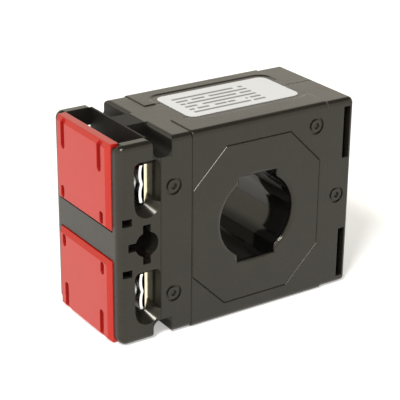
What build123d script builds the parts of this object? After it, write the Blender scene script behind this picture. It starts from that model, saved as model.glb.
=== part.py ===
"""Window-type current transformer with two sliding terminal covers.

Millimetres. X runs from the terminal end to the foot end, Y from the front face to the rear face and
Z upwards. The origin is the middle of the underside, on the surface that the part lies on.
"""
import os
from math import hypot

from build123d import *

# Case
case_length = 61.4
case_depth = 28.7
case_height = 46.2
edge_radius = 1.3
end_radius = 1.9
foot_radius = 0.8
seam_gap = 0.04
seam_shift = 1.0
seam_line_width = 0.2
seam_line_depth = 0.2

# Raised bands round the core housing, front and rear
band_raise = 0.2
band_start = 18.0
band_end = 54.1
band_inset = 9.0
band_chamfer = 0.15

# Primary window: a busbar slot laid over a round hole
window_x = 35.2
window_radius = 9.75
bar_slot_width = 10.2
bar_slot_height = 20.2
rim_radius = 0.4
tube_wall = 1.0
front_wall = 2.0

# V-shaped witness groove of the window insert, an octagon round the window
octagon_width = 34.4
octagon_height = 37.8
octagon_corner = 8.6
octagon_drop = 0.5
groove_width = 0.4
groove_depth = 0.24
groove_slope = 38

# Terminal block
flange_thickness = 3.0
chamber_depth = 7.8
middle_bar_height = 6.4
notch_start = 8.3
notch_width = 4.6
notch_depth = 4.2
notch_radius = 1.7
notch_mouth = 1.0
web_width = 6.4
tongue_length = 6.0
tongue_thickness = 1.6
lead_room_start = 11.6
lead_room_depth = 17.0
lead_room_margin = 3.45

# Cover guides and seal-wire windows in the flanges
guide_start = 0.6
guide_width = 1.0
guide_depth = 1.0
seal_window_start = 0.9
seal_window_width = 2.2
seal_window_height = 1.7
seal_window_rise = 5.9

# Wire entries: a tall slot with a half-round funnel of the same width under it
terminal_inset = 10.55
entry_drop = 3.45
entry_height = 9.7
entry_corner = 1.4
funnel_x = 6.95
funnel_radius = 3.25
funnel_throat = 1.15

# Keyed hole between the terminals
key_hole_x = 6.7
key_hole_radius = 2.85
key_reach = 4.55
key_width = 1.9

# Mounting-foot slots at the far end
foot_slot_length = 12.3
foot_slot_width = 1.8
foot_slot_wall = 0.9
foot_slot_rise = 14.95
foot_slot_depth = 9.0

# Moulder's date marks: a ring with a dot in it
ring_radius = 2.0
ring_line = 0.6
ring_depth = 0.4
dot_radius = 0.75
block_ring_x = 13.4
block_ring_drop = 0.7
shell_ring_x = 50.8
shell_ring_rise = 18.1
foot_ring_x = 57.6

# Sliding covers
cover_proud = 1.0
cover_plate = 2.0
cover_clearance = 0.15
cover_gap = 0.35
cover_edge = 0.9
cover_lip_reach = 2.7
cover_lip_thickness = 1.3
cover_top_drop = 0.2
runner_clearance = 0.1
runner_drop = 2.5
grip_spacing = 15.7
grip_width = 1.7
grip_length = 6.8
grip_depth = 0.8
seal_slot_spacing = 16.9
seal_slot_width = 1.5
seal_slot_height = 2.9

# Terminal bars, with a lug behind each for its lead
bar_thickness = 2.0
bar_height = 8.9
bar_fit = 0.05
lug_width = 4.0
lug_thickness = 1.0
lug_length = 4.0

# Clamp saddles and terminal screws
screw_radius = 2.0
screw_clearance = 0.06
screw_head_radius = 3.0
screw_head_height = 2.0
screw_head_edge = 0.5
screw_reach = 1.0
screw_hole_clearance = 0.4
drive_slot_width = 1.0
drive_slot_depth = 1.1
drive_cross_length = 3.8
saddle_inset = 0.2
saddle_gap = 0.15
saddle_sheet = 0.7
saddle_bulge = 0.4
saddle_tip = 0.1
saddle_height = 8.5
saddle_length = 7.8
saddle_hole_clearance = 0.15
head_gap = 0.1

# Ring core and its layers
core_room_radius = 17.1
core_room_clearance = 0.25
tape_thickness = 0.15
winding_thickness = 0.5
wrap_thickness = 0.2
layer_gap = 0.05
tube_clearance = 0.3

# Leads from the winding to the terminal lugs, and the opening that they pass through
lead_radius = 0.8
lead_gap = 0.1
lead_straight = 2.7
lead_bend = 2.0
lead_window_margin = 1.45
lead_window_depth = 7.6

# Rating label and the shallow tray that it lies in
label_x = 37.5
label_shift = 1.2
label_length = 29.8
label_width = 15.0
label_corner = 2.0
label_thickness = 0.12
tray_margin = 1.3
tray_corner = 3.2
tray_slope = 70

# Places worked out from the sizes above
overall_length = case_length + cover_proud
end_x = cover_proud - overall_length / 2
foot_x = end_x + case_length
front_y = case_depth / 2
mid_z = case_height / 2
low_front_y = front_y - band_raise
low_height = case_height - 2 * band_raise
low_top = case_height - band_raise
band_inner_y = front_y - band_inset
middle_plane = Plane.XY.offset(mid_z)
chamber_x = end_x + chamber_depth
chamber_floor = mid_z + middle_bar_height / 2
chamber_half = front_y - flange_thickness
shell_x = end_x + band_start + seam_gap
core_x = end_x + window_x
core_axis = Axis((core_x, 0, mid_z), (0, 1, 0))
seam_plane = Plane.XZ.offset(-seam_shift)
foot_end_length = case_length - band_end
cover_half = chamber_half - cover_clearance
cover_foot = chamber_floor + cover_gap
cover_top = case_height - cover_top_drop
cover_face = end_x - cover_proud
bar_back = chamber_x + bar_thickness
lug_end = bar_back + lug_length
screw_y = chamber_half - saddle_inset - saddle_length / 2
screw_end = bar_back + screw_reach
levels = {"upper": case_height - terminal_inset, "lower": terminal_inset}
terminal_pitch = case_height - 2 * terminal_inset
sides = {"front": -screw_y, "rear": screw_y}

os.makedirs("parts", exist_ok=True)


def finish(builder, name):
    """Label a finished piece and write it to its own file."""
    builder.part.label = name
    export_step(builder.part, f"parts/{name}.step")


# Moulder's date mark, cut into the mouldings' front.
with BuildSketch() as date_mark:
    Circle(ring_radius)
    Circle(ring_radius - ring_line, mode=Mode.SUBTRACT)
    Circle(dot_radius)


# Terminal block: a black moulding with the terminal chambers, wire entries and cover guides.
with BuildPart() as corner_notches:
    with BuildSketch(Plane.XZ.offset(web_width / 2)) as notch_outline:
        with Locations((end_x + notch_start + notch_width / 2, case_height)):
            Rectangle(notch_width, 2 * notch_depth)
        fillet(notch_outline.vertices(), notch_radius)
        with Locations((end_x + notch_start + notch_width, low_top)):
            Rectangle(notch_mouth, 2 * notch_mouth, align=(Align.MIN, Align.CENTER))
        with Locations((end_x + notch_start + notch_width + notch_mouth, low_top - notch_mouth)):
            Circle(notch_mouth, mode=Mode.SUBTRACT)
    extrude(amount=front_y)
    # The flange's corner is rounded as well, but not the thin chamber wall behind it.
    with BuildSketch(Plane.XZ.offset(chamber_half)):
        with Locations((end_x + notch_start, low_top)):
            Rectangle(notch_mouth, 2 * notch_mouth, align=(Align.MAX, Align.CENTER))
        with Locations((end_x + notch_start - notch_mouth, low_top - notch_mouth)):
            Circle(notch_mouth, mode=Mode.SUBTRACT)
    extrude(amount=flange_thickness)
    mirror(about=Plane.XZ)
    mirror(about=middle_plane)

with BuildPart() as entry_funnels:
    for level_z in levels.values():
        funnel_origin = (end_x + funnel_x, -front_y, level_z - entry_drop)
        with BuildSketch(Plane(origin=funnel_origin, x_dir=(1, 0, 0), z_dir=(0, 0, 1))):
            with BuildLine():
                Polyline(
                    (0, 0),
                    (funnel_radius, 0),
                    (funnel_throat, flange_thickness),
                    (0, flange_thickness),
                    close=True,
                )
            make_face()
        revolve(axis=Axis(funnel_origin, (0, 1, 0)), revolution_arc=180)
    mirror(about=Plane.XZ)

with BuildPart() as cover_bay:
    with BuildSketch(Plane.XY.offset(chamber_floor)):
        with Locations((chamber_x, 0)):
            Rectangle(2 * chamber_depth, 2 * chamber_half, align=(Align.MAX, Align.CENTER))
        with Locations((end_x + guide_start, 0)):
            Rectangle(guide_width, 2 * (chamber_half + guide_depth), align=(Align.MIN, Align.CENTER))
    extrude(amount=case_height - chamber_floor)
    mirror(about=middle_plane)

with BuildPart() as terminal_block:
    with BuildSketch(Plane.XY.offset(band_raise)):
        with Locations((end_x, 0)):
            Rectangle(band_start, 2 * low_front_y, align=(Align.MIN, Align.CENTER))
    extrude(amount=low_height)
    fillet(terminal_block.edges().filter_by(Axis.X), edge_radius)
    fillet(terminal_block.faces().sort_by(Axis.X)[0].edges(), end_radius)
    # Tongues that key into the two shells, above and below.
    for tongue_z in (low_top, band_raise + tongue_thickness):
        with BuildSketch(Plane.XY.offset(tongue_z)):
            with Locations((end_x + band_start - tongue_length, 0)):
                Rectangle(2 * tongue_length, 2 * band_inner_y - 2 * seam_gap, align=(Align.MIN, Align.CENTER))
        extrude(amount=-tongue_thickness)
    add(corner_notches.part, mode=Mode.SUBTRACT)
    add(cover_bay.part, mode=Mode.SUBTRACT)
    add(entry_funnels.part, mode=Mode.SUBTRACT)
    # Wire entry slots through both flanges.
    for side in (1, -1):
        with BuildSketch(Plane.XZ.offset(side * front_y)) as entry_outline:
            for level_z in levels.values():
                with Locations((end_x + funnel_x, level_z - entry_drop)):
                    Rectangle(2 * funnel_radius, entry_height, align=(Align.CENTER, Align.MIN))
            levels_of_corners = entry_outline.vertices().group_by(Axis.Y)
            fillet(levels_of_corners[1] + levels_of_corners[3], entry_corner)
        extrude(amount=-side * flange_thickness, mode=Mode.SUBTRACT)
    # Keyed hole through the middle bar.
    with BuildSketch(Plane.XZ):
        with Locations((end_x + key_hole_x, mid_z)):
            Circle(key_hole_radius)
            Rectangle(key_width, 2 * key_reach)
            Rectangle(key_reach, key_width, align=(Align.MAX, Align.CENTER))
    extrude(amount=front_y, both=True, mode=Mode.SUBTRACT)
    # Seal-wire windows.
    with BuildSketch(Plane.XZ):
        for rise in (seal_window_rise, -seal_window_rise):
            with Locations((end_x + seal_window_start, mid_z + rise)):
                Rectangle(seal_window_width, seal_window_height, align=(Align.MIN, Align.CENTER))
    extrude(amount=front_y, both=True, mode=Mode.SUBTRACT)
    # Room for the leads, open towards the core housing.
    with BuildSketch(Plane.YZ.offset(end_x + lead_room_start)):
        with Locations((0, mid_z)):
            Rectangle(lead_room_depth, terminal_pitch + 2 * lead_room_margin)
    extrude(amount=band_start - lead_room_start, mode=Mode.SUBTRACT)
    # Seats of the two terminal bars, their lugs and the ends of their screws.
    for level_z in levels.values():
        with BuildSketch(Plane.YZ.offset(chamber_x)):
            with Locations((0, level_z)):
                Rectangle(2 * chamber_half, bar_height + 2 * bar_fit)
        extrude(amount=bar_thickness + bar_fit, mode=Mode.SUBTRACT)
        with BuildSketch(Plane.YZ.offset(bar_back)):
            with Locations((0, level_z)):
                Rectangle(lug_width + 2 * bar_fit, lug_thickness + 2 * bar_fit)
        extrude(amount=lug_length, mode=Mode.SUBTRACT)
        with BuildSketch(Plane.YZ.offset(bar_back)):
            for side_y in sides.values():
                with Locations((side_y, level_z)):
                    Circle(screw_radius + screw_hole_clearance)
        extrude(amount=screw_reach + screw_hole_clearance, mode=Mode.SUBTRACT)
    # Date marks beside the terminals.
    with BuildSketch(Plane.XZ.offset(low_front_y)):
        for level_z in levels.values():
            with Locations((end_x + block_ring_x, level_z - block_ring_drop)):
                add(date_mark.sketch)
    extrude(amount=-ring_depth, mode=Mode.SUBTRACT)
finish(terminal_block, "terminal_block")


# Core housing: two black shells that meet just behind mid-depth, each with its share of the window tube.
with BuildPart() as half_band:
    with BuildSketch(Plane.XY):
        with Locations((shell_x, -front_y)):
            Rectangle(end_x + band_end - shell_x, band_inset, align=Align.MIN)
    extrude(amount=case_height)
    fillet(half_band.faces().sort_by(Axis.Y)[0].edges().filter_by(Axis.X), edge_radius)
    chamfer(half_band.faces().sort_by(Axis.X)[0].edges(), band_chamfer)
    chamfer(half_band.faces().sort_by(Axis.X)[-1].edges(), band_chamfer)

with BuildPart() as octagon_groove:
    with BuildSketch(Plane.XZ.offset(front_y)) as octagon:
        with Locations((core_x, mid_z - octagon_drop)):
            Rectangle(octagon_width, octagon_height)
        chamfer(octagon.vertices(), octagon_corner)
    extrude(amount=-groove_depth, taper=groove_slope)
    with BuildSketch(Plane.XZ.offset(front_y)):
        add(octagon.sketch)
        offset(amount=-groove_width, kind=Kind.INTERSECTION, mode=Mode.REPLACE)
    extrude(amount=-groove_depth, taper=-groove_slope, mode=Mode.SUBTRACT)

with BuildPart() as half_shell:
    with BuildSketch(Plane.XY.offset(band_raise)):
        with Locations((shell_x, -low_front_y)):
            Rectangle(foot_x - shell_x, low_front_y, align=Align.MIN)
    extrude(amount=low_height)
    front_edges = half_shell.faces().sort_by(Axis.Y)[0].edges()
    fillet(front_edges.filter_by(Axis.X), edge_radius)
    fillet(half_shell.faces().sort_by(Axis.X)[-1].edges().sort_by(Axis.Y)[:-1], foot_radius)
    add(half_band.part)
    # Core room round the window tube.
    with BuildSketch(Plane.XZ.offset(front_y - front_wall)):
        with Locations((core_x, mid_z)):
            Circle(core_room_radius)
        with BuildSketch(mode=Mode.PRIVATE) as tube_outline:
            with Locations((core_x, mid_z)):
                Circle(window_radius)
                Rectangle(bar_slot_width, bar_slot_height)
            offset(amount=tube_wall)
        add(tube_outline.sketch, mode=Mode.SUBTRACT)
    extrude(amount=front_wall - front_y, mode=Mode.SUBTRACT)
    # Primary window, right through.
    with BuildSketch(Plane.XZ):
        with Locations((core_x, mid_z)):
            Circle(window_radius)
            Rectangle(bar_slot_width, bar_slot_height)
    extrude(amount=front_y, mode=Mode.SUBTRACT)
    rim = half_shell.faces().sort_by(Axis.Y)[0].inner_wires()[0]
    fillet(rim.edges(), rim_radius)
    # Opening for the leads, towards the terminal block.
    with BuildSketch(Plane.XZ):
        with Locations((shell_x, mid_z)):
            Rectangle(
                lead_window_depth, terminal_pitch + 2 * lead_window_margin, align=(Align.MIN, Align.CENTER)
            )
    extrude(amount=front_y - front_wall, mode=Mode.SUBTRACT)
    # Pockets for the tongues of the terminal block.
    for pocket_z in (low_top, band_raise + tongue_thickness + seam_gap):
        with BuildSketch(Plane.XY.offset(pocket_z)):
            with Locations((shell_x, 0)):
                Rectangle(tongue_length, band_inner_y, align=(Align.MIN, Align.MAX))
        extrude(amount=-tongue_thickness - seam_gap, mode=Mode.SUBTRACT)
    add(octagon_groove.part, mode=Mode.SUBTRACT)
    # Slots for mounting feet.
    with BuildSketch(Plane.XZ.offset(front_y)):
        for rise in (foot_slot_rise, -foot_slot_rise):
            with Locations((foot_x - foot_slot_wall, mid_z + rise)):
                Rectangle(foot_slot_width, foot_slot_length, align=(Align.MAX, Align.CENTER))
    extrude(amount=-foot_slot_depth, mode=Mode.SUBTRACT)

with BuildPart() as housing:
    add(half_shell.part)
    mirror(about=Plane.XZ)
    # Tray for the label.
    with BuildSketch(Plane.XY.offset(low_top)):
        with Locations((end_x + label_x, label_shift)):
            RectangleRounded(label_length + 2 * tray_margin, label_width + 2 * tray_margin, tray_corner)
    extrude(amount=2 * band_raise, taper=-tray_slope, mode=Mode.SUBTRACT)
    # Parting line round the foot end.
    with BuildSketch(seam_plane):
        with Locations((foot_x, mid_z)):
            Rectangle(foot_end_length, low_height, align=(Align.MAX, Align.CENTER))
        with Locations((foot_x - seam_line_depth, mid_z)):
            Rectangle(
                foot_end_length,
                low_height - 2 * seam_line_depth,
                align=(Align.MAX, Align.CENTER),
                mode=Mode.SUBTRACT,
            )
    extrude(amount=seam_line_width / 2, both=True, mode=Mode.SUBTRACT)

with BuildPart() as front_shell:
    add(housing.part)
    split(bisect_by=seam_plane, keep=Keep.TOP)
    # Date marks on the band and on the foot end.
    for ring_y, ring_x, ring_z in (
        (front_y, end_x + shell_ring_x, mid_z + shell_ring_rise),
        (low_front_y, end_x + foot_ring_x, mid_z),
    ):
        with BuildSketch(Plane.XZ.offset(ring_y)):
            with Locations((ring_x, ring_z)):
                add(date_mark.sketch)
        extrude(amount=-ring_depth, mode=Mode.SUBTRACT)
finish(front_shell, "front_shell")

with BuildPart() as rear_shell:
    add(housing.part)
    split(bisect_by=seam_plane, keep=Keep.BOTTOM)
finish(rear_shell, "rear_shell")


# Sliding covers: red mouldings with a runner each side, a lip over the chamber and finger grips.
with BuildPart() as cover_upper:
    with BuildSketch(Plane.XY.offset(cover_foot)):
        with Locations((cover_face, 0)):
            Rectangle(cover_plate, 2 * cover_half, align=(Align.MIN, Align.CENTER))
    extrude(amount=cover_top - cover_foot)
    with BuildSketch(Plane.XY.offset(cover_top)):
        with Locations((cover_face, 0)):
            Rectangle(cover_lip_reach, 2 * cover_half, align=(Align.MIN, Align.CENTER))
    extrude(amount=-cover_lip_thickness)
    chamfer(cover_upper.faces().sort_by(Axis.X)[0].edges(), cover_edge)
    with BuildSketch(Plane.XY.offset(cover_foot)):
        with Locations((end_x + guide_start + runner_clearance, 0)):
            Rectangle(
                guide_width - 2 * runner_clearance,
                2 * (chamber_half + guide_depth - runner_clearance),
                align=(Align.MIN, Align.CENTER),
            )
    extrude(amount=cover_top - runner_drop - cover_foot)
    # Finger grips, down the face from the bevel.
    with BuildSketch(Plane.YZ.offset(cover_face)):
        with GridLocations(grip_spacing, 0, 2, 1):
            with Locations((0, cover_top)):
                SlotOverall(2 * grip_length, grip_width, rotation=90)
    extrude(amount=grip_depth, mode=Mode.SUBTRACT)
    # Slots for the seal wire.
    with BuildSketch(Plane.YZ.offset(cover_face)):
        with GridLocations(seal_slot_spacing, 0, 2, 1):
            with Locations((0, mid_z + seal_window_rise)):
                SlotOverall(seal_slot_height, seal_slot_width, rotation=90)
    extrude(amount=cover_plate, mode=Mode.SUBTRACT)
finish(cover_upper, "cover_upper")

with BuildPart() as cover_lower:
    mirror(cover_upper.part, about=middle_plane)
finish(cover_lower, "cover_lower")


# Terminals: a tapped brass bar at each level, with a saddle and a screw at each end of it.
saddle_face = chamber_x - saddle_gap
saddle_crest = saddle_face - saddle_bulge
head_seat = saddle_crest - saddle_sheet - head_gap
head_top = head_seat - screw_head_height

for level, level_z in levels.items():
    with BuildPart() as terminal_bar:
        with BuildSketch(Plane.YZ.offset(chamber_x)):
            with Locations((0, level_z)):
                Rectangle(2 * (chamber_half - bar_fit), bar_height)
            for side_y in sides.values():
                with Locations((side_y, level_z)):
                    Circle(screw_radius, mode=Mode.SUBTRACT)
        extrude(amount=bar_thickness)
        with BuildSketch(Plane.YZ.offset(bar_back)):
            with Locations((0, level_z)):
                Rectangle(lug_width, lug_thickness)
        extrude(amount=lug_length)
    finish(terminal_bar, f"terminal_bar_{level}")

    for side, side_y in sides.items():
        with BuildPart() as clamp_saddle:
            with BuildSketch(Plane.XZ.offset(saddle_length / 2 - side_y)):
                with BuildLine():
                    for sheet, turn in ((0, 1), (saddle_sheet, 1), (0, -1), (saddle_sheet, -1)):
                        ThreePointArc(
                            (saddle_face - sheet, level_z),
                            (saddle_crest - sheet, level_z + turn * saddle_height / 4),
                            (saddle_face - saddle_tip - sheet, level_z + turn * saddle_height / 2),
                        )
                    for turn in (1, -1):
                        tip_z = level_z + turn * saddle_height / 2
                        tip_x = saddle_face - saddle_tip
                        Line((tip_x, tip_z), (tip_x - saddle_sheet, tip_z))
                make_face()
            extrude(amount=-saddle_length)
            with BuildSketch(Plane.YZ.offset(chamber_x)):
                with Locations((side_y, level_z)):
                    Circle(screw_radius + saddle_hole_clearance)
            extrude(amount=-chamber_depth, mode=Mode.SUBTRACT)
        finish(clamp_saddle, f"clamp_saddle_{level}_{side}")

        with BuildPart() as terminal_screw:
            with BuildSketch(Plane.YZ.offset(head_seat)):
                with Locations((side_y, level_z)):
                    Circle(screw_head_radius)
            extrude(amount=-screw_head_height)
            fillet(terminal_screw.faces().sort_by(Axis.X)[0].edges(), screw_head_edge)
            with BuildSketch(Plane.YZ.offset(head_seat)):
                with Locations((side_y, level_z)):
                    Circle(screw_radius - screw_clearance)
            extrude(amount=screw_end - head_seat)
            with BuildSketch(Plane.YZ.offset(head_top)):
                with Locations((side_y, level_z)):
                    Rectangle(drive_slot_width, 2 * screw_head_radius)
                    Rectangle(drive_cross_length, drive_slot_width)
            extrude(amount=drive_slot_depth, mode=Mode.SUBTRACT)
        finish(terminal_screw, f"terminal_screw_{level}_{side}")


# Ring core, its wrap, the secondary winding and the tape over it, from the outside in.
ring_inner = hypot(bar_slot_width, bar_slot_height) / 2 + tube_wall + tube_clearance
ring_outer = core_room_radius - core_room_clearance
ring_half = front_y - front_wall - core_room_clearance
inset = 0
for layer, thickness in (
    ("outer_tape", tape_thickness),
    ("secondary_winding", winding_thickness),
    ("core_wrap", wrap_thickness),
    ("core", None),
):
    radial = ring_outer - ring_inner - 2 * inset
    axial = 2 * (ring_half - inset)
    with BuildPart() as ring_layer:
        with BuildSketch(Plane.XY.offset(mid_z)):
            with Locations((core_x + (ring_inner + ring_outer) / 2, 0)):
                Rectangle(radial, axial)
                if thickness:
                    Rectangle(radial - 2 * thickness, axial - 2 * thickness, mode=Mode.SUBTRACT)
        revolve(axis=core_axis)
    finish(ring_layer, layer)
    if thickness:
        inset += thickness + layer_gap


# Leads: insulated wires from the terminal lugs to the winding, aimed at the middle of the ring.
for level, level_z in levels.items():
    lug_point = Vector(lug_end + lead_gap, 0, level_z)
    turn_point = lug_point + Vector(lead_straight, 0, 0)
    to_core = Vector(core_x, 0, mid_z) - turn_point
    ring_point = turn_point + to_core.normalized() * (to_core.length - ring_outer - lead_gap)
    with BuildPart() as lead:
        with BuildLine() as lead_path:
            FilletPolyline(lug_point, turn_point, ring_point, radius=lead_bend)
        with BuildSketch(Plane.YZ.offset(lug_point.X)):
            with Locations((0, lug_point.Z)):
                Circle(lead_radius)
        sweep(path=lead_path.line)
    finish(lead, f"lead_{level}")


# Rating label: a white sticker on the top, its print left off.
with BuildPart() as rating_label:
    with BuildSketch(Plane.XY.offset(low_top)):
        with Locations((end_x + label_x, label_shift)):
            RectangleRounded(label_length, label_width, label_corner)
    extrude(amount=label_thickness)
finish(rating_label, "rating_label")
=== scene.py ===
"""Looks of a window-type current transformer: black housing, red terminal covers and a white label."""
from math import acos, cos, pi, radians, sin

import bmesh
import bpy
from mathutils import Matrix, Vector


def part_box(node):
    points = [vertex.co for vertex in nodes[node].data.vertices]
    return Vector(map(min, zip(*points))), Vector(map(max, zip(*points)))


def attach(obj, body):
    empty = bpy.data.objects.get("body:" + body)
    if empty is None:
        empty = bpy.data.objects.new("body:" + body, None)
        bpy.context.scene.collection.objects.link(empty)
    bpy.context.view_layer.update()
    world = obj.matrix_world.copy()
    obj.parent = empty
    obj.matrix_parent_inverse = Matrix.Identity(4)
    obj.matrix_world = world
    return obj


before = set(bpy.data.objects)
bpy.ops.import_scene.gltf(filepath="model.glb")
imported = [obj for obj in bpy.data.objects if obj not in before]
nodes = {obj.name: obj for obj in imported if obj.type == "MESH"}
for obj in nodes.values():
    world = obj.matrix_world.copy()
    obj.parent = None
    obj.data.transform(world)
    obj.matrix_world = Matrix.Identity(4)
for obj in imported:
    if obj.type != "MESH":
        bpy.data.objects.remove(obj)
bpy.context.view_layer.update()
scene = bpy.context.scene


# Black mouldings: terminal block and the two shells of the core housing.
# Glass-filled thermoplastic, injection moulded with a fine spark-eroded texture, so that it shines softly.
# The shells are welded together round the core, and the block's tongues key into them.
millimetre = 0.001


def new_group(name, inputs, outputs):
    """Start an effect: a shader node group with named sockets."""
    group = bpy.data.node_groups.new(name, "ShaderNodeTree")
    for socket_name, kind, value in inputs:
        socket = group.interface.new_socket(socket_name, in_out="INPUT", socket_type=kind)
        socket.default_value = value
    for socket_name, kind in outputs:
        group.interface.new_socket(socket_name, in_out="OUTPUT", socket_type=kind)
    entry = group.nodes.new("NodeGroupInput")
    result = group.nodes.new("NodeGroupOutput")
    return group, entry.outputs, result.inputs


def add_node(tree, kind, settings=None, **values):
    """Add a node, set its options, and set or link its inputs by name or number."""
    node = tree.nodes.new(kind)
    for option, value in (settings or {}).items():
        setattr(node, option, value)
    for socket_name, value in values.items():
        key = int(socket_name[1:]) if socket_name[0] == "_" else socket_name.replace("_", " ")
        if isinstance(value, bpy.types.NodeSocket):
            tree.links.new(value, node.inputs[key])
        else:
            node.inputs[key].default_value = value
    return node


def math_node(tree, operation, *values):
    """Add a math node and return what it puts out."""
    return add_node(tree, "ShaderNodeMath", {"operation": operation},
                    **{f"_{number}": value for number, value in enumerate(values)}).outputs[0]


def vector_node(tree, operation, *values):
    """Add a vector math node and return what it puts out."""
    return add_node(tree, "ShaderNodeVectorMath", {"operation": operation},
                    **{f"_{number}": value for number, value in enumerate(values)}).outputs[0]


def new_material(name, **constants):
    """Start a material and set the constant sockets of its shader."""
    material = bpy.data.materials.new(name)
    material.use_nodes = True
    shader = material.node_tree.nodes["Principled BSDF"]
    for socket_name, value in constants.items():
        shader.inputs[socket_name.replace("_", " ")].default_value = value
    return material, material.node_tree, shader.inputs


def dress(material, *names):
    """Give CAD nodes their material."""
    for name in names:
        nodes[name].data.materials.clear()
        nodes[name].data.materials.append(material)


def overlay(socket, mask, value):
    """Lay a value or a colour over a socket's own where the mask is 1."""
    kind, first, result = ("RGBA", 6, 2) if socket.type == "RGBA" else ("FLOAT", 2, 0)
    own = socket.links[0].from_socket if socket.is_linked else socket.default_value
    mix = add_node(socket.id_data, "ShaderNodeMix", {"data_type": kind},
                   **{"_0": mask, f"_{first}": own, f"_{first + 1}": value})
    socket.id_data.links.new(mix.outputs[result], socket)


def moulded_skin():
    """Moulded plastic: fine texture, cloudy gloss and a slightly uneven tone."""
    cloud_scale = 140.0
    group, entry, result = new_group(
        "moulded_skin",
        [("Tone", "NodeSocketColor", (0.5, 0.5, 0.5, 1)),
         ("Worn Tone", "NodeSocketColor", (0.6, 0.6, 0.6, 1)),
         ("Roughness", "NodeSocketFloat", 0.4), ("Gloss Spread", "NodeSocketFloat", 0.1),
         ("Grain", "NodeSocketFloat", 9000.0)],
        [("Tone", "NodeSocketColor"), ("Roughness", "NodeSocketFloat"), ("Height", "NodeSocketFloat")],
    )
    place = add_node(group, "ShaderNodeTexCoord").outputs["Object"]
    grain = add_node(group, "ShaderNodeTexNoise", Vector=place, Scale=entry["Grain"], Detail=2.0)
    cloud = add_node(group, "ShaderNodeTexNoise", Vector=place, Scale=cloud_scale, Detail=4.0).outputs["Fac"]
    centred = math_node(group, "SUBTRACT", cloud, 0.5)
    gloss = math_node(group, "MULTIPLY_ADD", centred, entry["Gloss Spread"], entry["Roughness"])
    tone = add_node(group, "ShaderNodeMix", {"data_type": "RGBA"},
                    _0=cloud, _6=entry["Tone"], _7=entry["Worn Tone"])
    group.links.new(tone.outputs[2], result["Tone"])
    group.links.new(gloss, result["Roughness"])
    group.links.new(grain.outputs["Fac"], result["Height"])
    return group


def ring_place():
    """Place round an axis along Y: distance from it, angle in turns, and depth either side of the centre."""
    group, entry, result = new_group(
        "ring_place", [("Centre", "NodeSocketVector", (0, 0, 0))],
        [("Radius", "NodeSocketFloat"), ("Angle", "NodeSocketFloat"), ("Depth", "NodeSocketFloat")],
    )
    place = add_node(group, "ShaderNodeTexCoord").outputs["Object"]
    offset = vector_node(group, "SUBTRACT", place, entry["Centre"])
    parts = add_node(group, "ShaderNodeSeparateXYZ", _0=offset).outputs
    flat = add_node(group, "ShaderNodeCombineXYZ", X=parts["X"], Z=parts["Z"]).outputs[0]
    radius = add_node(group, "ShaderNodeVectorMath", {"operation": "LENGTH"}, _0=flat)
    angle = math_node(group, "ARCTAN2", parts["Z"], parts["X"])
    group.links.new(radius.outputs["Value"], result["Radius"])
    group.links.new(math_node(group, "DIVIDE", angle, 2 * pi), result["Angle"])
    group.links.new(math_node(group, "ABSOLUTE", parts["Y"]), result["Depth"])
    return group


ring = ring_place()
core_low, core_high = (Vector(corner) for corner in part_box("core"))
ring_centre = (core_low + core_high) / 2


def window_place():
    """Masks of a round window along Y: its wall between the two faces, and its rims."""
    group, entry, result = new_group(
        "window_place",
        [("Centre", "NodeSocketVector", (0, 0, 0)), ("Reach", "NodeSocketFloat", 0.0),
         ("Rim Reach", "NodeSocketFloat", 0.0), ("Half Depth", "NodeSocketFloat", 0.0),
         ("Rim Depth", "NodeSocketFloat", 0.0)],
        [("Wall", "NodeSocketFloat"), ("Rim", "NodeSocketFloat")],
    )
    place = add_node(group, "ShaderNodeGroup", {"node_tree": ring}, Centre=entry["Centre"]).outputs
    for mask, reach, side, depth in [("Wall", "Reach", "LESS_THAN", "Half Depth"),
                                     ("Rim", "Rim Reach", "GREATER_THAN", "Rim Depth")]:
        near = math_node(group, "LESS_THAN", place["Radius"], entry[reach])
        deep = math_node(group, side, place["Depth"], entry[depth])
        group.links.new(math_node(group, "MULTIPLY", near, deep), result[mask])
    return group


def recess_place():
    """Mask of a box, repeated on either side of its origin in every direction."""
    group, entry, result = new_group(
        "recess_place",
        [("Origin", "NodeSocketVector", (0, 0, 0)), ("Low", "NodeSocketVector", (0, 0, 0)),
         ("High", "NodeSocketVector", (0, 0, 0))],
        [("Mask", "NodeSocketFloat")],
    )
    place = add_node(group, "ShaderNodeTexCoord").outputs["Object"]
    folded = vector_node(group, "ABSOLUTE", vector_node(group, "SUBTRACT", place, entry["Origin"]))
    past_low = vector_node(group, "SUBTRACT", folded, entry["Low"])
    to_high = vector_node(group, "SUBTRACT", entry["High"], folded)
    inside = vector_node(group, "MINIMUM", past_low, to_high)
    parts = add_node(group, "ShaderNodeSeparateXYZ", _0=inside).outputs
    across = math_node(group, "MINIMUM", parts["X"], parts["Y"])
    least = math_node(group, "MINIMUM", across, parts["Z"])
    group.links.new(math_node(group, "GREATER_THAN", least, 0.0), result["Mask"])
    return group


window = window_place()
recess = recess_place()
moulded = moulded_skin()


def box_mask(tree, origin, box):
    """Mask of a box whose corners are given in millimetres from an origin."""
    low, high = (Vector(corner) * millimetre for corner in box)
    place = add_node(tree, "ShaderNodeGroup", {"node_tree": recess}, Origin=origin, Low=low, High=high)
    return place.outputs["Mask"]


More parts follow.
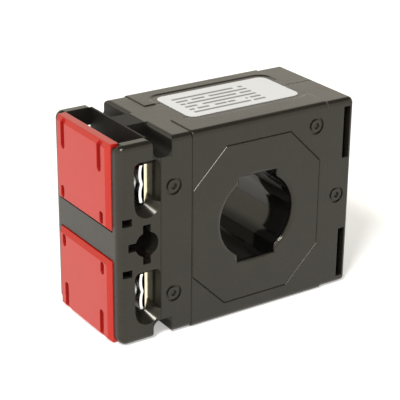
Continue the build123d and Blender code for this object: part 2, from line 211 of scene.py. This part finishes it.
def moulding(name, tone, worn_tone, roughness, gloss_spread, grain, relief, edge_round, **constants):
    """A plastic with the moulded skin; its sharp corners shine as if slightly rounded."""
    material, tree, shader = new_material(name, **constants)
    skin = add_node(tree, "ShaderNodeGroup", {"node_tree": moulded}, Tone=tone, Worn_Tone=worn_tone,
                    Roughness=roughness, Gloss_Spread=gloss_spread, Grain=grain)
    corner = add_node(tree, "ShaderNodeBevel", {"samples": 12}, Radius=edge_round)
    bump = add_node(tree, "ShaderNodeBump", Height=skin.outputs["Height"], Strength=relief,
                    Distance=0.05 * millimetre, Normal=corner.outputs["Normal"])
    tree.links.new(skin.outputs["Tone"], shader["Base Color"])
    tree.links.new(skin.outputs["Roughness"], shader["Roughness"])
    tree.links.new(bump.outputs["Normal"], shader["Normal"])
    return material, tree, shader, corner.inputs, bump.inputs


black, black_tree, black_shader, black_corner, black_bump = moulding(
    "black_moulding", tone=(0.010, 0.009, 0.0072, 1), worn_tone=(0.017, 0.0155, 0.0125, 1), roughness=0.27,
    gloss_spread=0.16, grain=5000.0, relief=0.10, edge_round=0.12 * millimetre, IOR=1.45,
    Specular_Tint=(1.0, 0.95, 0.84, 1))

# The notches, the terminal chambers and the side walls of the wire entries are dull, as no polish reaches
# there, and are darkened with painted shade.
# Their boxes, as the others below, are in millimetres from the middle of the terminal end.
block_low, block_high = (Vector(corner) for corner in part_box("terminal_block"))
block_end = Vector((block_low.x, 0, (block_low.z + block_high.z) / 2))
notch_box = ((8.2, -1, 18.8), (13.0, 15, 23.2))
chamber_box = ((0.1, -1, -1), (9.9, 11.4, 24))
entry_wall_box = ((10.05, 11.3, -1), (10.35, 14.25, 24))
recess_painted_shade_tone = (0.004, 0.0036, 0.003, 1)
dull_roughness = 0.6
for shaded_dull_box in (notch_box, chamber_box, entry_wall_box):
    shade_and_dull_mask = box_mask(black_tree, block_end, shaded_dull_box)
    overlay(black_shader["Base Color"], shade_and_dull_mask, recess_painted_shade_tone)
    overlay(black_shader["Roughness"], shade_and_dull_mask, dull_roughness)

# The window's wall comes off a polished core pin: it has no grain, and neither have its rims. Its darker tone
# is painted shade inside the window.
opening = add_node(black_tree, "ShaderNodeGroup", {"node_tree": window}, Centre=ring_centre,
                   Reach=12.5 * millimetre, Rim_Reach=10.9 * millimetre, Half_Depth=14.0 * millimetre,
                   Rim_Depth=12.6 * millimetre).outputs
window_painted_shade_tone = (0.003, 0.003, 0.003, 1)
polished_roughness = 0.06
even_height = 0.5
overlay(black_shader["Base Color"], opening["Wall"], window_painted_shade_tone)
for polished in (opening["Wall"], opening["Rim"]):
    overlay(black_shader["Roughness"], polished, polished_roughness)
    overlay(black_bump["Height"], polished, even_height)

# Corners shine as if rounded: hardly in the window, more on the long edges and the label's tray,
# and most on the window's rims.
long_edge_box = ((13.2, 12.9, 21.7), (62.5, 15, 24))
tray_box = ((20.1, -1, 21.7), (54.9, 11, 24))
long_edges = box_mask(black_tree, block_end, long_edge_box)
tray = box_mask(black_tree, block_end, tray_box)
for place, rounding in ((opening["Wall"], 0.03), (long_edges, 0.6), (tray, 0.45), (opening["Rim"], 1.6)):
    overlay(black_corner["Radius"], place, rounding * millimetre)
dress(black, "terminal_block", "front_shell", "rear_shell")


# Window wall beside the leads: a narrow strip that closes the window's tube towards the terminal block.
# Black plastic as the shells, with which it is moulded, and flush with the wall on either side of it.
# The solids lack it, because their opening for the leads cuts a little too deep into the tube.
window_radius = 9.75 * millimetre
tube_wall = 1.0 * millimetre
opening_edge = 9.56 * millimetre
strip_half_depth = 12.35 * millimetre
arc_steps = 8
strip_outline = []
for radius, turn in ((window_radius, 1), (window_radius + tube_wall, -1)):
    half_angle = acos(opening_edge / radius)
    for step in range(arc_steps + 1):
        angle = pi + turn * half_angle * (2 * step / arc_steps - 1)
        strip_outline.append((ring_centre.x + radius * cos(angle), ring_centre.z + radius * sin(angle)))
corners = len(strip_outline)
strip_points = [(x, side * strip_half_depth, z) for side in (-1, 1) for x, z in strip_outline]
strip_faces = [tuple(range(corners)), tuple(range(corners, 2 * corners))]
for first in range(corners):
    second = (first + 1) % corners
    strip_faces.append((first, second, second + corners, first + corners))
strip_mesh = bpy.data.meshes.new("window_wall")
strip_mesh.from_pydata(strip_points, [], strip_faces)
strip_form = bmesh.new()
strip_form.from_mesh(strip_mesh)
bmesh.ops.recalc_face_normals(strip_form, faces=strip_form.faces)
strip_form.to_mesh(strip_mesh)
strip_form.free()
strip_mesh.shade_smooth()
strip_mesh.set_sharp_from_angle(angle=radians(30))
strip_mesh.materials.append(black)
window_wall = bpy.data.objects.new("window_wall", strip_mesh)
scene.collection.objects.link(window_wall)
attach(window_wall, "case")


# Terminal covers: two red mouldings that slide in the flanges and hide the screws.
# The same kind of plastic in signal red, with a finer texture and a more even gloss.
# The grips are cut into the tool by spark and not polished, so they are dull; their deeper red is painted
# shade in the grooves.
red, red_tree, red_shader, *_ = moulding(
    "red_moulding", tone=(0.395, 0.012, 0.007, 1), worn_tone=(0.435, 0.016, 0.009, 1), roughness=0.30,
    gloss_spread=0.08, grain=6000.0, relief=0.08, edge_round=0.2 * millimetre, IOR=1.45,
    Specular_Tint=(1.0, 0.95, 0.85, 1))
cover_low, cover_high = (Vector(corner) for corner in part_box("cover_upper"))
cover_face = Vector((cover_low.x, 0, block_end.z))
cover_foot = (cover_low.z - block_end.z) / millimetre
cover_top = (cover_high.z - block_end.z) / millimetre
grip_margin = 1.0
grip_box = ((0.1, 6.9, cover_foot + grip_margin), (1.0, 8.8, cover_top - grip_margin))
grip_painted_shade_tone = (0.34, 0.005, 0.003, 1)
grip_shade_and_dull = box_mask(red_tree, cover_face, grip_box)
overlay(red_shader["Base Color"], grip_shade_and_dull, grip_painted_shade_tone)
overlay(red_shader["Roughness"], grip_shade_and_dull, dull_roughness)
dress(red, "cover_upper", "cover_lower")


# Terminal bars: stamped and bent from brass strip, with a lug behind each for its lead.
# Rolled bright, so that fine lines run along the strip.
# The strip's faces are darkened with painted shade, and its ends, which face front and rear, carry a painted
# highlight.
def rolled_sheet():
    """Rolled metal: fine lines along the strip that vary its gloss."""
    group, entry, result = new_group(
        "rolled_sheet",
        [("Line Scale", "NodeSocketVector", (400.0, 400.0, 400.0)), ("Roughness", "NodeSocketFloat", 0.25),
         ("Gloss Spread", "NodeSocketFloat", 0.1)],
        [("Roughness", "NodeSocketFloat"), ("Height", "NodeSocketFloat")],
    )
    place = add_node(group, "ShaderNodeTexCoord").outputs["Object"]
    stretched = vector_node(group, "MULTIPLY", place, entry["Line Scale"])
    lines = add_node(group, "ShaderNodeTexNoise", Vector=stretched, Scale=1.0, Detail=3.0).outputs["Fac"]
    gloss = math_node(group, "MULTIPLY_ADD", lines, entry["Gloss Spread"], entry["Roughness"])
    group.links.new(gloss, result["Roughness"])
    group.links.new(lines, result["Height"])
    return group


def painted_highlight_ends():
    """Mask of the surfaces that face along Y."""
    least_share = 0.7
    group, _, result = new_group("painted_highlight_ends", [], [("Mask", "NodeSocketFloat")])
    facing = add_node(group, "ShaderNodeNewGeometry").outputs["True Normal"]
    parts = add_node(group, "ShaderNodeSeparateXYZ", _0=facing).outputs
    share = math_node(group, "ABSOLUTE", parts["Y"])
    group.links.new(math_node(group, "GREATER_THAN", share, least_share), result["Mask"])
    return group


rolled = rolled_sheet()
highlight_ends = painted_highlight_ends()


def metal(name, line_scale, roughness, gloss_spread, relief, **constants):
    """A plated or bare metal with rolling lines."""
    material, tree, shader = new_material(name, Metallic=1.0, **constants)
    sheet = add_node(tree, "ShaderNodeGroup", {"node_tree": rolled}, Line_Scale=line_scale,
                     Roughness=roughness, Gloss_Spread=gloss_spread)
    corner = add_node(tree, "ShaderNodeBevel", {"samples": 4}, Radius=0.1 * millimetre)
    bump = add_node(tree, "ShaderNodeBump", Height=sheet.outputs["Height"], Strength=relief,
                    Distance=0.01 * millimetre, Normal=corner.outputs["Normal"])
    tree.links.new(sheet.outputs["Roughness"], shader["Roughness"])
    tree.links.new(bump.outputs["Normal"], shader["Normal"])
    return material, tree, shader


def strip_metal(name, face_painted_shade_tone, end_painted_highlight_tone, **finish):
    """A metal strip with painted shade on its faces and a painted highlight on its ends that face along Y."""
    material, tree, shader = metal(name, **finish)
    mask = add_node(tree, "ShaderNodeGroup", {"node_tree": highlight_ends}).outputs["Mask"]
    tone = add_node(tree, "ShaderNodeMix", {"data_type": "RGBA"}, _0=mask, _6=face_painted_shade_tone, _7=end_painted_highlight_tone)
    tree.links.new(tone.outputs[2], shader["Base Color"])
    return material


brass = strip_metal("brass", face_painted_shade_tone=(0.24, 0.19, 0.10, 1), end_painted_highlight_tone=(0.90, 0.84, 0.62, 1),
                    line_scale=(9000, 500, 9000), roughness=0.06, gloss_spread=0.08, relief=0.06)
dress(brass, "terminal_bar_upper", "terminal_bar_lower")


# Clamp saddles: pressed from tinned steel sheet into two arches; each screw pulls one on to its bar.
# The sheet's faces carry painted shade and its ends facing front and rear a painted highlight, as those of
# the bars.
tin = strip_metal("tinned_steel", face_painted_shade_tone=(0.22, 0.22, 0.22, 1), end_painted_highlight_tone=(0.95, 0.95, 0.94, 1),
                  line_scale=(2000, 2000, 2000), roughness=0.20, gloss_spread=0.10, relief=0.08)
dress(tin, "clamp_saddle_upper_front", "clamp_saddle_upper_rear",
      "clamp_saddle_lower_front", "clamp_saddle_lower_rear")


# Terminal screws: cold-headed steel with a combined slot and cross, bright zinc plated.
# Each goes through its saddle into the bar's tapped hole, and its head stands behind the cover.
zinc, *_ = metal("zinc_steel", line_scale=(2500, 2500, 2500), roughness=0.28, gloss_spread=0.12,
                 relief=0.10, Base_Color=(0.72, 0.74, 0.76, 1))
dress(zinc, "terminal_screw_upper_front", "terminal_screw_upper_rear",
      "terminal_screw_lower_front", "terminal_screw_lower_rear")


# Ring core: silicon-steel strip wound like a clock spring, so that its ends show fine circles.
# It is held in the shells' core room by the layers round it.
def ring_material(name, light, dark, measure, count, relief, **constants):
    """A ring's material with fine ribs that follow its radius or its angle."""
    material, tree, shader = new_material(name, **constants)
    place = add_node(tree, "ShaderNodeGroup", {"node_tree": ring}, Centre=ring_centre).outputs[measure]
    rib = math_node(tree, "SINE", math_node(tree, "MULTIPLY", place, 2 * pi * count))
    share = add_node(tree, "ShaderNodeMapRange", Value=rib, From_Min=-1.0, From_Max=1.0).outputs[0]
    colour = add_node(tree, "ShaderNodeMix", {"data_type": "RGBA"}, _0=share, _6=dark, _7=light)
    bump = add_node(tree, "ShaderNodeBump", Height=share, Strength=relief, Distance=0.1 * millimetre)
    tree.links.new(colour.outputs[2], shader["Base Color"])
    tree.links.new(bump.outputs["Normal"], shader["Normal"])
    return material


strip_thickness = 0.3 * millimetre
core_steel = ring_material("core_steel", light=(0.45, 0.46, 0.48, 1), dark=(0.20, 0.20, 0.22, 1),
                           measure="Radius", count=1 / strip_thickness, relief=0.4,
                           Metallic=1.0, Roughness=0.4)
dress(core_steel, "core")


# Core wrap: a crepe-paper bandage that keeps the winding off the core's sharp edges.
# It is wound round the ring with a lap, and the laps show as low ribs.
bandage_turns = 40
wrap = ring_material("wrap", light=(0.68, 0.58, 0.42, 1), dark=(0.56, 0.46, 0.31, 1),
                     measure="Angle", count=bandage_turns, relief=0.3, Roughness=0.8)
dress(wrap, "core_wrap")


# Secondary winding: enamelled copper wire laid side by side round the ring.
# The solid is one ring, and its turns are ribs in the material.
wire_turns = 150
copper = ring_material("copper", light=(0.72, 0.30, 0.12, 1), dark=(0.30, 0.10, 0.04, 1),
                       measure="Angle", count=wire_turns, relief=0.8, Metallic=1.0, Roughness=0.3)
dress(copper, "secondary_winding")


# Outer tape: yellow polyester tape, lapped round the winding to hold it.
# Its glue keeps it in place, and its laps show as wide low ribs.
tape_turns = 24
tape = ring_material("tape", light=(0.78, 0.60, 0.12, 1), dark=(0.66, 0.48, 0.08, 1),
                     measure="Angle", count=tape_turns, relief=0.3, Roughness=0.3)
dress(tape, "outer_tape")


# Leads: stranded wire in soft black insulation, from the winding to the bars' lugs.
# The insulation is extruded, and duller than the mouldings.
insulation, *_ = moulding(
    "lead_insulation", tone=(0.012, 0.012, 0.013, 1), worn_tone=(0.018, 0.018, 0.019, 1), roughness=0.5,
    gloss_spread=0.1, grain=4000.0, relief=0.05, edge_round=0.05 * millimetre)
dress(insulation, "lead_upper", "lead_lower")


# Rating label: matt white film, stuck into the tray on top.
# Its print isn't copied: plain broken rules stand in its place, and the room of the mark beside them is bare.
def ruled_print():
    """Mask of evenly spaced rules along X, broken at uneven steps."""
    breaks_per_metre = 420.0
    row_shift = 3.7
    gap_level = 0.38
    group, entry, result = new_group(
        "ruled_print",
        [("Corner", "NodeSocketVector", (0, 0, 0)), ("Length", "NodeSocketFloat", 0.01),
         ("Pitch", "NodeSocketFloat", 0.001), ("Rows", "NodeSocketFloat", 6.0),
         ("Thickness", "NodeSocketFloat", 0.4)],
        [("Mask", "NodeSocketFloat")],
    )
    place = add_node(group, "ShaderNodeTexCoord").outputs["Object"]
    offset = vector_node(group, "SUBTRACT", place, entry["Corner"])
    parts = add_node(group, "ShaderNodeSeparateXYZ", _0=offset).outputs
    row = math_node(group, "DIVIDE", parts["Y"], entry["Pitch"])
    step_along = math_node(group, "MULTIPLY", parts["X"], breaks_per_metre)
    step_across = math_node(group, "MULTIPLY", math_node(group, "FLOOR", row), row_shift)
    steps = add_node(group, "ShaderNodeCombineXYZ", X=step_along, Y=step_across).outputs[0]
    noise = add_node(group, "ShaderNodeTexNoise", Vector=steps, Scale=1.0, Detail=1.0).outputs["Fac"]
    mask = math_node(group, "GREATER_THAN", noise, gap_level)
    limits = [(math_node(group, "FRACT", row), "LESS_THAN", entry["Thickness"]),
              (parts["X"], "GREATER_THAN", 0.0), (parts["X"], "LESS_THAN", entry["Length"]),
              (row, "GREATER_THAN", 0.0), (row, "LESS_THAN", entry["Rows"])]
    for value, side, limit in limits:
        mask = math_node(group, "MULTIPLY", mask, math_node(group, side, value, limit))
    group.links.new(mask, result["Mask"])
    return group


label_corner = Vector(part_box("rating_label")[0])
label_margin = Vector((2.6, 2.0, 0)) * millimetre
rule_tone = (0.20, 0.20, 0.20, 1)
paper_cloud_scale = 300.0
label_print = ruled_print()
paper, paper_tree, paper_shader = new_material("label", Roughness=0.45)
paper_place = add_node(paper_tree, "ShaderNodeTexCoord").outputs["Object"]
paper_cloud = add_node(paper_tree, "ShaderNodeTexNoise", Vector=paper_place, Scale=paper_cloud_scale,
                       Detail=3.0)
paper_tone = add_node(paper_tree, "ShaderNodeMix", {"data_type": "RGBA"}, _0=paper_cloud.outputs["Fac"],
                      _6=(0.67, 0.68, 0.70, 1), _7=(0.72, 0.725, 0.74, 1))
paper_tree.links.new(paper_tone.outputs[2], paper_shader["Base Color"])
rules = add_node(paper_tree, "ShaderNodeGroup", {"node_tree": label_print},
                 Corner=label_corner + label_margin, Length=19 * millimetre,
                 Pitch=1.85 * millimetre, Rows=6.0, Thickness=0.46)
overlay(paper_shader["Base Color"], rules.outputs["Mask"], rule_tone)
dress(paper, "rating_label")


# Floor: a wide pale sheet that the part lies on.
# White card, with a little light of its own, so that shadows stay faint as on a lit table.
floor_half = 3.0
floor_drop = 0.01 * millimetre
bpy.ops.mesh.primitive_plane_add(size=2 * floor_half, location=(0, 0, -floor_drop))
floor = bpy.context.object
floor.name = "floor"
floor_material, *_ = new_material(
    "floor", Base_Color=(0.90, 0.90, 0.90, 1), Roughness=0.9, Emission_Color=(1, 1, 1, 1),
    Emission_Strength=0.38)
floor.data.materials.append(floor_material)


# Light: a warm white surround that is bright near the ground and dim overhead, and one softbox at upper left.
# The surround stands for a white tent, and the softbox for a lamp over its front left corner.
horizon_strength = 1.2
overhead_strength = 0.12
fade_start = 0.45
fade_end = 0.75
surround = bpy.data.worlds.new("surround")
surround.use_nodes = True
scene.world = surround
sky = surround.node_tree
background = sky.nodes["Background"].inputs
direction = add_node(sky, "ShaderNodeTexCoord").outputs["Generated"]
height = add_node(sky, "ShaderNodeSeparateXYZ", _0=direction).outputs["Z"]
shade = add_node(sky, "ShaderNodeMapRange", {"interpolation_type": "SMOOTHSTEP"}, Value=height,
                 From_Min=fade_start, From_Max=fade_end, To_Min=horizon_strength, To_Max=overhead_strength)
background["Color"].default_value = (1.0, 0.95, 0.83, 1)
sky.links.new(shade.outputs[0], background["Strength"])

lamp_aim = Vector((0, 0, 0.02))
lamp_data = bpy.data.lights.new("key_lamp", "AREA")
lamp_data.size = 0.18
lamp_data.energy = 6.3
lamp = bpy.data.objects.new("key_lamp", lamp_data)
lamp.location = (-0.468, -0.342, 0.709)
lamp.rotation_euler = (lamp_aim - lamp.location).to_track_quat("-Z", "Y").to_euler()
scene.collection.objects.link(lamp)


# Camera: long lens, a little above and to the left, with the slight roll of the photograph.
# Its place, turn and focal length were fitted to the straight edges of the case.
image_width = 400
focal_pixels = 1370.2
camera_data = bpy.data.cameras.new("camera")
camera_data.sensor_width = 36.0
camera_data.lens = focal_pixels / image_width * camera_data.sensor_width
camera_data.clip_start = 0.01
camera = bpy.data.objects.new("camera", camera_data)
camera.location = (-0.15975, -0.23829, 0.14505)
camera.rotation_euler = (radians(66.928), radians(-0.567), radians(-33.477))
scene.collection.objects.link(camera)
scene.camera = camera
scene.view_settings.view_transform = "Standard"
